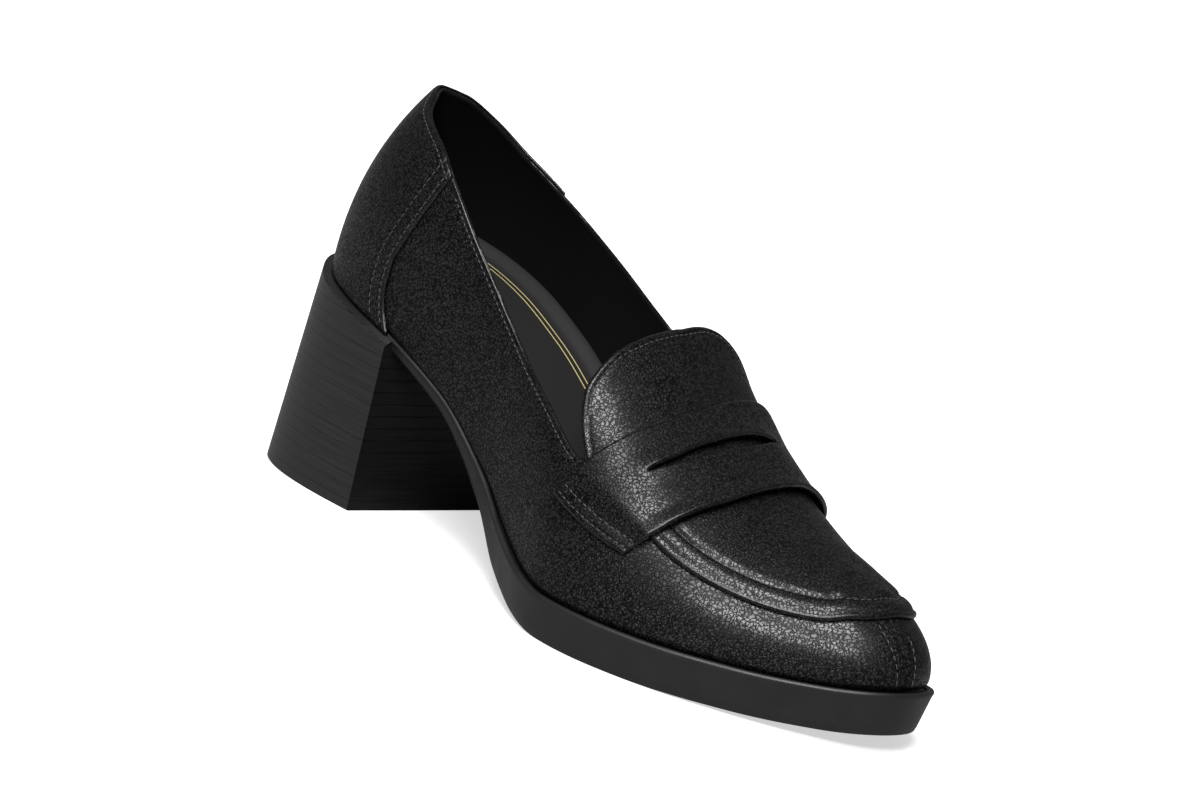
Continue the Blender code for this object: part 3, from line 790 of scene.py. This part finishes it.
# Apron: a rolled edge band, a stitched groove inside it and the plug in the middle
apron = {
    "wall": 0.00125,
    "sit": 0.00004,
    "radius": 0.0007,
    "groove": 0.0066,
    "humps": (  # height, distance from the seam, width
        (0.00022, 0.0008, 0.0005),
        (-0.00016, 0.0017, 0.0005),
        (0.00040, 0.0036, 0.0020),
        (-0.00062, 0.0066, 0.00055),
        (0.00010, 0.0088, 0.0016),
    ),
    "rearGap": 0.0006,
    "pucker": 0.00022,
    "lines": 110,
}


def apronRear(side, share):
    joint = bridgeAt("joint", side, share)
    return joint + rowsFor(apron["rearGap"], side, share)


def apronLift(fromSeam):
    lift = apron["wall"] - roundOff(fromSeam, apron["radius"])
    for height, centre, width in apron["humps"]:
        lift += height * hump(fromSeam, centre, width)
    return lift


def makeApron():
    shell = Shell()
    steps = edgeSteps(apron["radius"], (1.5, 2.2, 3.0, 3.8, 4.6, 5.3, 5.8,
                                        6.2, 6.6, 7.0, 7.4, 8.0, 9.0))
    for side in (-1, 1):
        across = spread(0.042, steps, [0], 34)[0][None, :]
        share = tongueSide + (1 - tongueSide) * across
        for _ in range(6):
            rear = apronRear(side, share)
            share = apronSeam(rear) * (1 - across) + across
        forward = np.linspace(0, 1, apron["lines"] + 1)[:, None]
        rows = rear + (toeRow - rear) * forward
        seam = apronSeam(rows)
        share = seam * (1 - across) + across
        base, normal = onLast(rows, side, share)
        fromSeam = distanceTo(base, [base[:, 0]])
        lift = apron["sit"] + np.maximum(apronLift(fromSeam), 0.0001)
        lift += toePuckers(rows, side, share, fromSeam)
        outer = base + normal * lift[..., None]
        shell.addShell(outer, base + normal * apron["sit"], side, ("start", "low"), values=fromSeam)
        keepPath("apron", outer[5:], normal[5:], fromSeam[5:], apron["groove"])
    return fit(shell.build("apron_leather", (leather,), "rimDistance"), "leather", "apron")


def toePuckers(rows, side, share, fromSeam):  # gathers where the plug is drawn in at the toe
    turn = (rows - 11.5) * (1 if side < 0 else -1)
    wave = np.sin(turn * 5.2 + 0.8) * 0.6 + np.sin(turn * 9.1 + 2.0) * 0.4
    near = hump(fromSeam, apron["groove"] + 0.0018, 0.0022)
    front = ease((rows - 11.2) / 1.6) * (1 - hump(rows, toeRow, 0.35))
    return apron["pucker"] * wave * near * front


makeApron()
print("apron is ready")

# Tongue: stands a little off the foot, with a round tip
tongue = {"wall": 0.0015, "sit": 0.00010, "radius": 0.0009, "rise": 0.0020, "stitchIn": 0.0021}


def tongueGrid(side, along, across):
    share = tongueSide + (1 - tongueSide) * across
    tip, upperEdge = bridgeAt("tip", side, share), bridgeAt("upper", side, share)
    row = tip + (bridgeAt("joint", side, share) - tip) * along
    free = np.clip((upperEdge - row) / (upperEdge - bridgeAt("tip", side, 1.0)), 0, 1)
    return row, share, tongue["sit"] + tongue["rise"] * free ** 2


def makeTongue():
    shell = Shell()
    steps = edgeSteps(tongue["radius"], (1.2, 1.6, 2.0, 2.4, 2.8, 3.4))
    along = spread(0.028, steps, [0], 40)[0][:, None]
    across = spread(0.042, steps, [0], 50)[0][None, :]
    for side in (-1, 1):
        row, share, sit = tongueGrid(side, along, across)
        base, normal = onLast(row, side, share)
        rim = distanceTo(base, [base[0], base[:, 0]])
        fall = roundOff(rim, tongue["radius"])
        lift = tongue["wall"] - fall - 0.00018 * hump(rim, tongue["stitchIn"], 0.0004)
        lift += 0.00015 * hump(rim, 0.0011, 0.0007)
        outer = base + normal * (sit + lift)[..., None]
        inner = base + normal * (sit + 0.42 * fall)[..., None]
        shell.addShell(outer, inner, side, ("start", "end", "low"), values=rim)
        keepPath("tongue", outer.transpose(1, 0, 2)[9:], normal.transpose(1, 0, 2)[9:],
                 rim.T[9:], tongue["stitchIn"])
    return fit(shell.build("tongue_leather", (leather,), "rimDistance"), "leather", "tongue")


makeTongue()
print("tongue is ready")

# Saddle strap: two bands joined at both ends, open between them in a long lens
strap = {
    "wall": 0.0015,
    "sit": 0.00005,
    "radius": 0.00085,
    "slit": 0.0036,
    "flap": 0.0008,
    "flapWidth": 0.004,
    "over": 0.0018,
    "drop": 0.08,
    "proud": 0.0008,
    "proudWidth": 0.005,
    "stitches": (0.0017, 0.0042),
}


def strapBands(side, share, part):
    slit = bridgeAt("slit", side, share)
    inside = np.clip((share - slitEnds[side]) / (1 - slitEnds[side]), 0, 1)
    half = rowsFor(strap["slit"] / 2, side, share) * np.sin(inside * math.pi / 2) ** 0.8
    upperEdge, lower = bridgeAt("upper", side, share), bridgeAt("lower", side, share)
    return (upperEdge + (slit - half - upperEdge) * part,
            slit + half + (lower - slit - half) * part)


def strapSit(row, share, fromLower):
    overApron = ease((share - apronSeam(row) + strap["drop"]) / strap["drop"])
    proud = strap["proud"] * (1 - ease(fromLower / strap["proudWidth"]))
    return strap["sit"] + strap["over"] * overApron + proud * ease((share - 0.36) / 0.12)


def makeStrap():
    shell = Shell()
    steps = edgeSteps(strap["radius"], (1.2, 1.6, 2.1))
    endSteps = edgeSteps(strap["radius"], (1.3, 1.7, 2.1, 2.5, 3.0, 3.5, 4.0))
    part = spread(0.011, steps, steps, 12)[0][:, None]
    share = (strapEnd + (1 - strapEnd) * spread(0.055, endSteps, [0], 90)[0])[None, :]
    for side in (-1, 1):
        bands = strapBands(side, share, part)
        opened = share[0] > slitEnds[side] + 0.004
        placed = [lastPoint(row, side, share) for row in bands]
        slitLines = [placed[0][-1][opened], placed[1][0][opened]]
        lowerLine = placed[1][-1]
        rimLines = [placed[0][0], lowerLine, placed[0][:, 0], placed[1][:, 0], *slitLines]
        for k, row in enumerate(bands):
            base, normal = placed[k], lastNormal(row, side, share)
            rim = distanceTo(base, rimLines)
            sit = strapSit(row, share, distanceTo(base, [lowerLine]))
            atSlit = np.clip((share - slitEnds[side] + 0.06) / 0.12, 0, 1)
            lips = atSlit * hump(distanceTo(base, slitLines), 0, strap["flapWidth"])
            sit = sit + strap["flap"] * lips * (1 if k == 0 else 0.6)
            lift = strap["wall"] - roundOff(rim, strap["radius"])
            fromEnd = distanceTo(base, [placed[0][:, 0], placed[1][:, 0]])
            lift -= 0.00016 * sum(hump(fromEnd, level, 0.0004) for level in strap["stitches"])
            outer = base + normal * (sit + np.maximum(lift, 0.0001))[..., None]
            inner = base + normal * sit[..., None]
            shell.addShell(outer, inner, side, ("low", "start" if k == 0 else "end"), values=rim)
            inside = slice(5, None) if k == 0 else slice(0, -5)
            for level in strap["stitches"]:
                keepPath("strap" + str(side * level), outer[inside], normal[inside],
                         fromEnd[inside], level)
            rimRow = -1 if k == 0 else 0
            top = shell.addPoints(outer[rimRow][opened])
            bottom = shell.addPoints(inner[rimRow][opened])
            shell.addWall(top, bottom, (side > 0) ^ (k == 1))
    made = shell.build("saddle_strap_leather", (leather,), "rimDistance")
    return fit(made, "leather", "saddle_strap")


makeStrap()
print("strap is ready")

# Insole: padded footbed under a sock that turns up at its rim
insole = {
    "wall": 0.0022,
    "rise": 0.0168,
    "inset": 0.0018,
    "footInset": 0.0027,
    "round": 0.0008,
    "cup": 0.0022,
    "cupWidth": 0.0080,
    "width": 0.055,
}


def footbedRise(along):
    return insole["wall"] + profileAt("footbed", along) * insole["rise"]


def makeInsole():
    shell = Shell()
    row = np.linspace(0, toeRow, 241)
    foot = sectionAt("foot", row)
    rise = footbedRise(foot) + insole["cup"] * 0.3
    shares = np.linspace(0, 0.4, 81)
    edges, feet = [], []
    for side in (-1, 1):
        climb = lastPoint(row[:, None], side, shares)[..., 2] - soleTop(foot)[:, None]
        top = np.array([np.interp(high, line, shares) for high, line in zip(rise, climb)])
        edge = overLast(row, side, top, -insole["inset"])
        edge[:, 2] = soleTop(foot) + rise
        edges.append(edge)
        base, out = feather(row, side)
        plan = base - out * insole["footInset"]
        floor = soleTop(toAlong(plan[:, 0])) + shoe["clearance"]
        feet.append(np.concatenate([plan, floor[:, None]], 1))
    half = edgeSteps(insole["round"], (1.5, 2.2, 3.0, 4.0, 5.0, 5.5, 6.0,
                                       6.6, 7.4, 8.4, 9.6, 11.0)) / insole["width"]
    across = np.concatenate([half, np.linspace(half[-1], 1 - half[-1], 26)[1:-1], 1 - half[::-1]])
    across = across[None, :, None]
    plan = edges[0][:, None] * (1 - across) + edges[1][:, None] * across
    rim = distanceTo(plan, [edges[0], edges[1]])
    top = plan.copy()
    top[..., 2] -= roundOff(rim, insole["round"]) + insole["cup"] * ease(rim / insole["cupWidth"])
    low = feet[0][:, None] * (1 - across) + feet[1][:, None] * across
    low[..., 2] = soleTop(toAlong(low[..., 0])) + shoe["clearance"]
    upIndex, lowIndex = shell.addPoints(top, rim), shell.addPoints(low, rim)
    shell.addGrid(upIndex, False)
    shell.addGrid(lowIndex, True)
    shell.addWall(upIndex[:, 0], lowIndex[:, 0], False)
    shell.addWall(upIndex[:, -1], lowIndex[:, -1], True)
    made = shell.build("insole_sock", (sock,), "rimDistance")
    return fit(made, "sock", "insole")


makeInsole()
print("insole is ready")

# Outsole: moulded rubber with a thin rounded lip under the leather
sole = {"lip": 0.0011, "toeReach": 0.0008, "lowRadius": 0.0009, "lines": 260}


def soleLine(side, row, offset, depthShare, drop):
    along = sectionAt("foot", row)
    thick = soleThickness(along)
    flange = profileAt("flange", along) * shoe["flange"]
    flange += sole["toeReach"] * ease((along - 0.93) / 0.07)
    base, out = feather(row, side)
    lean = shoe["undercut"] * thick / shoe["soleEdge"]
    shift = flange + offset - lean * depthShare
    plan = base + out * np.broadcast_to(shift, row.shape)[:, None]
    at = toAlong(plan[:, 0])
    height = soleTop(at) - soleThickness(at) * depthShare + drop
    return np.concatenate([plan, height[:, None]], 1)


def makeSole():
    shell = Shell()
    row = np.linspace(0, toeRow, sole["lines"] + 1)
    lip = sole["lip"]
    profile = [(-lip * 2.2, 0, -0.0004), (-lip * 1.7, 0, 0.0), (-lip * 1.35, 0, 0.00025)]
    for turn in np.linspace(0, math.pi / 2, 6):
        profile.append((-lip * (1 - math.sin(turn)), 0, 0.0003 - lip * (1 - math.cos(turn))))
    profile += [(0.0, share, 0.0) for share in (0.16, 0.3, 0.45, 0.6, 0.75, 0.88)]
    for turn in np.linspace(0, math.pi / 2, 5):
        profile.append((-sole["lowRadius"] * (1 - math.cos(turn)), 1,
                        sole["lowRadius"] * (1 - math.sin(turn))))
    rings = []
    for offset, depthShare, drop in profile:
        outer = soleLine(-1, row, offset, depthShare, drop)
        inner = soleLine(1, row, offset, depthShare, drop)
        rings.append(np.concatenate([inner, outer[-2:0:-1]]))
    index = shell.addPoints(np.array(rings))
    closed = np.concatenate([index, index[:, :1]], 1)
    shell.addGrid(closed, False)
    count = len(row)
    for ring, flip in ((index[0], True), (index[-1], False)):
        left, right = ring[:count], np.concatenate([ring[:1], ring[:count - 2:-1]])
        shell.addFaces(left[:-1], left[1:], right[1:], right[:-1], flip, 0)
    return fit(shell.build("outsole_rubber", (rubber,)), "sole_rubber", "outsole")


makeSole()
print("sole is ready")

# Heel block: stacked layers, a sloped ledge round the seat and a flat breast
heel = {"steps": 60, "backRise": 0.0014, "corner": 0.0005, "chamfer": 0.0006, "levels": 14}


def heelLines(side):
    turn = np.linspace(0, 1, heel["steps"] + 1)
    rows = np.linspace(0, toeRow, 1001)
    breast = shoe["heelStart"] + shoe["heelLength"]
    row = turn * np.interp(breast, sectionAt("foot", rows) * shoe["length"], rows)
    angle = turn * math.pi / 2
    ledge = shoe["heelRimFront"] + (shoe["heelRim"] - shoe["heelRimFront"]) * np.cos(angle)
    base, out = feather(row, side)
    gap = shoe["clearance"]

    def atSeat(offset, depth):
        plan = base + out * np.broadcast_to(offset, row.shape)[:, None]
        plan[-1, 0] = shoe["heelLength"] / 2
        height = soleTop(toAlong(plan[:, 0])) - depth
        return np.concatenate([plan, height[:, None]], 1)

    def atFloor(inset, height):
        length = (shoe["heelLength"] - inset) * np.cos(angle) ** (2 / shoe["heelRound"])
        width = (shoe["heelWidth"] / 2 - inset) * np.sin(angle) ** (2 / shoe["heelRound"])
        return np.stack([shoe["heelLength"] / 2 - length, side * width,
                         np.full_like(length, height)], 1)

    lines = [atSeat(gap, shoe["shankEdge"] + gap), atSeat(gap, gap)]
    bevel = shoe["heelBevel"] - heel["backRise"] * np.cos(angle) ** 3
    for share in (0.25, 0.5, 0.75):
        lines.append(atSeat(gap + (ledge - gap) * share, gap + (bevel - gap) * share * 0.9))
    rim = atSeat(ledge, bevel)
    corner = heel["corner"]
    lines.append(atSeat(ledge - corner, bevel - 0.0002))
    foot = atFloor(0, heel["chamfer"])
    for share in np.concatenate([[corner * 0.3, corner], np.linspace(0.03, 1, heel["levels"])]):
        lines.append(rim + (foot - rim) * share)
    return lines + [atFloor(heel["chamfer"], 0)]


def makeHeel():
    shell = Shell()
    lines = np.array([np.concatenate([outer[:0:-1], inner])
                      for outer, inner in zip(heelLines(-1), heelLines(1))])
    index = shell.addPoints(lines)
    shell.addGrid(index[:6], True, 2)
    shell.addGrid(index[5:], True)
    count = heel["steps"]
    for ring, flip in ((index[0], True), (index[-1], False)):
        left, right = ring[:count + 1], ring[::-1][:count + 1]
        shell.addFaces(left[:-1], left[1:], right[1:], right[:-1], flip, 0)
    left, right = index[:, 0], index[:, -1]
    middle = np.linspace(0, 1, 12)[None, :, None]
    face = lines[:, :1] * (1 - middle) + lines[:, -1:] * middle
    sheet = shell.addPoints(face[1:])
    # the breast face takes the darker painted-shade copy of the heel material
    shell.addGrid(sheet, False, 1)
    made = shell.build("heel_block_stack", (stacked, breast, rubber))
    made.data.set_sharp_from_angle(angle=math.radians(32))
    return fit(made, "stacked_heel", "heel_block")


makeHeel()
print("heel is ready")

# Stitches: one short arched thread, copied along every seam
stitch = {"pitch": 0.0021, "length": 0.00155, "thick": 0.00040, "sides": 6, "probe": 0.0003}


def stitchMesh(name, rows):
    allPoints, allFaces, count = [], [], 0
    sides = stitch["sides"]
    stations = np.array((-1, -0.72, -0.3, 0.3, 0.72, 1))
    widths = np.array((0.35, 0.85, 1, 1, 0.85, 0.35)) * stitch["thick"] / 2
    heights = stitch["thick"] * (0.42 * (1 - stations ** 2) - 0.16)
    turn = np.linspace(0, 2 * math.pi, sides, endpoint=False)
    for points, normals in rows:
        reach = reachAlong(points)
        number = max(1, int(reach[-1] / stitch["pitch"]))
        at = (np.arange(number) + 0.5) * reach[-1] / number
        centre, normal = valuesAt(at, reach, points), valuesAt(at, reach, normals)
        along = unit(valuesAt(at + stitch["probe"], reach, points)
                     - valuesAt(at - stitch["probe"], reach, points))
        beside = unit(np.cross(normal, along))
        forward = (stations * stitch["length"] / 2)[None, :, None, None]
        upward = (heights[:, None] + widths[:, None] * np.sin(turn))[None, :, :, None]
        sideward = (widths[:, None] * np.cos(turn))[None, :, :, None]
        ring = (centre[:, None, None] + along[:, None, None] * forward
                + normal[:, None, None] * upward + beside[:, None, None] * sideward)
        index = count + np.arange(ring.size // 3).reshape(ring.shape[:3])
        count += index.size
        allPoints.append(ring.reshape(-1, 3))
        after = np.roll(index, -1, 2)
        quads = np.stack([index[:, :-1], index[:, 1:], after[:, 1:], after[:, :-1]], -1)
        allFaces += quads.reshape(-1, 4).tolist()
        allFaces += index[:, 0].tolist() + index[:, -1, ::-1].tolist()
    mesh = bpy.data.meshes.new(name)
    mesh.from_pydata(np.concatenate(allPoints).tolist(), [], allFaces)
    mesh.materials.append(thread)
    mesh.shade_smooth()
    made = bpy.data.objects.new(name, mesh)
    bpy.context.scene.collection.objects.link(made)
    return fit(made, "leather")


def makeStitches():
    share = np.linspace(0.03, 0.46, 80)
    seam = upper["toeSeamRow"]
    toeRows = []
    for away in (-upper["toeStitchIn"], upper["toeStitchIn"]):
        row = seam + away / upper["toeRowPace"] * (1 + share)
        toeRows.append((overLast(row, -1, share, 0.00012), lastNormal(row, -1, share)))
    strapRows = [[np.concatenate(parts) for parts in zip(*pair)]
                 for name, pair in seamPaths.items() if name.startswith("strap")]
    seamPaths.update(strap=strapRows, toe=toeRows)
    for name in ("topline", "counter", "strap", "tongue", "apron", "toe"):
        stitchMesh(name + "_stitches", seamPaths[name])


makeStitches()
print("stitches are ready")

# Floor, light and camera
studio = {
    "floor": (grey(0.78), grey(0.80)),
    "glow": 0.60,
    "glare": 0.26,
    "fill": 0.13,
    "tent": 3.2,
    "tentAngle": 28,
    "tentFrom": (22, 66, 3),  # azimuth, elevation, distance
    "front": 15,
    "frontFrom": (34, 36, 1.5),
    "frontSize": (0.55, 0.28),
    "cameraFrom": (39.8, 12.0, 1.2),
    "roll": 15.5,
    "target": (0.0820, 0.0, 0.0536),
    "lens": 129.06,
}


def makeFloor():
    bpy.ops.mesh.primitive_plane_add(size=16, location=(0, 0, 0))
    floor = bpy.context.active_object
    floor.name = "floor"
    look, tree, shader, place = newLook("paleFloor", 0.7, specular=0.2)
    pale = mixColour(tree, noise(tree, place, 3.0, 2.0)["Fac"], *studio["floor"])
    seen = addNode(tree, "LightPath").outputs["Is Glossy Ray"]
    dim = mixColour(tree, seen, pale, grey(studio["glare"]))  # less glare in black leather
    tree.links.new(dim, shader.inputs["Base Color"])
    eye = addNode(tree, "LightPath").outputs["Is Camera Ray"]
    glow = mixColour(tree, eye, grey(0), grey(studio["glow"]))
    tree.links.new(glow, shader.inputs["Emission Color"])
    shader.inputs["Emission Strength"].default_value = 1.0
    floor.data.materials.append(look)


def aimed(kind, name, azimuth, elevation, distance, roll=0.0):
    az, el, turn = math.radians(azimuth), math.radians(elevation), math.radians(roll)
    back = np.array((math.sin(az) * math.cos(el), -math.cos(az) * math.cos(el), math.sin(el)))
    right = np.array((math.cos(az), math.sin(az), 0))
    up = np.cross(back, right)
    imageRight = right * math.cos(turn) + up * math.sin(turn)
    imageUp = up * math.cos(turn) - right * math.sin(turn)
    made = bpy.data.objects.new(name, kind)
    bpy.context.scene.collection.objects.link(made)
    spin = Matrix([imageRight, imageUp, back]).transposed().to_4x4()
    made.matrix_world = Matrix.Translation(np.array(studio["target"]) + back * distance) @ spin
    return made


def softLight(name, azimuth, elevation, distance, size, power):
    lamp = bpy.data.lights.new(name, "AREA")
    lamp.shape = "RECTANGLE"
    lamp.size, lamp.size_y = size
    lamp.energy = power
    aimed(lamp, name, azimuth, elevation, distance)


def makeStudio():
    makeFloor()
    world = bpy.data.worlds.new("paleStudio")
    world.use_nodes = True
    world.node_tree.nodes["Background"].inputs["Color"].default_value = (1, 1, 1, 1)
    world.node_tree.nodes["Background"].inputs["Strength"].default_value = studio["fill"]
    bpy.context.scene.world = world
    tent = bpy.data.lights.new("overheadTent", "SUN")
    tent.energy, tent.angle = studio["tent"], math.radians(studio["tentAngle"])
    aimed(tent, "overheadTent", *studio["tentFrom"])
    softLight("frontBox", *studio["frontFrom"], studio["frontSize"], studio["front"])
    lens = bpy.data.cameras.new("camera")
    lens.lens = studio["lens"]
    lens.sensor_width = 36
    lens.clip_start = 0.05
    bpy.context.scene.camera = aimed(lens, "camera", *studio["cameraFrom"], studio["roll"])
    bpy.context.scene.view_settings.view_transform = "Standard"


makeStudio()
print("studio is ready")
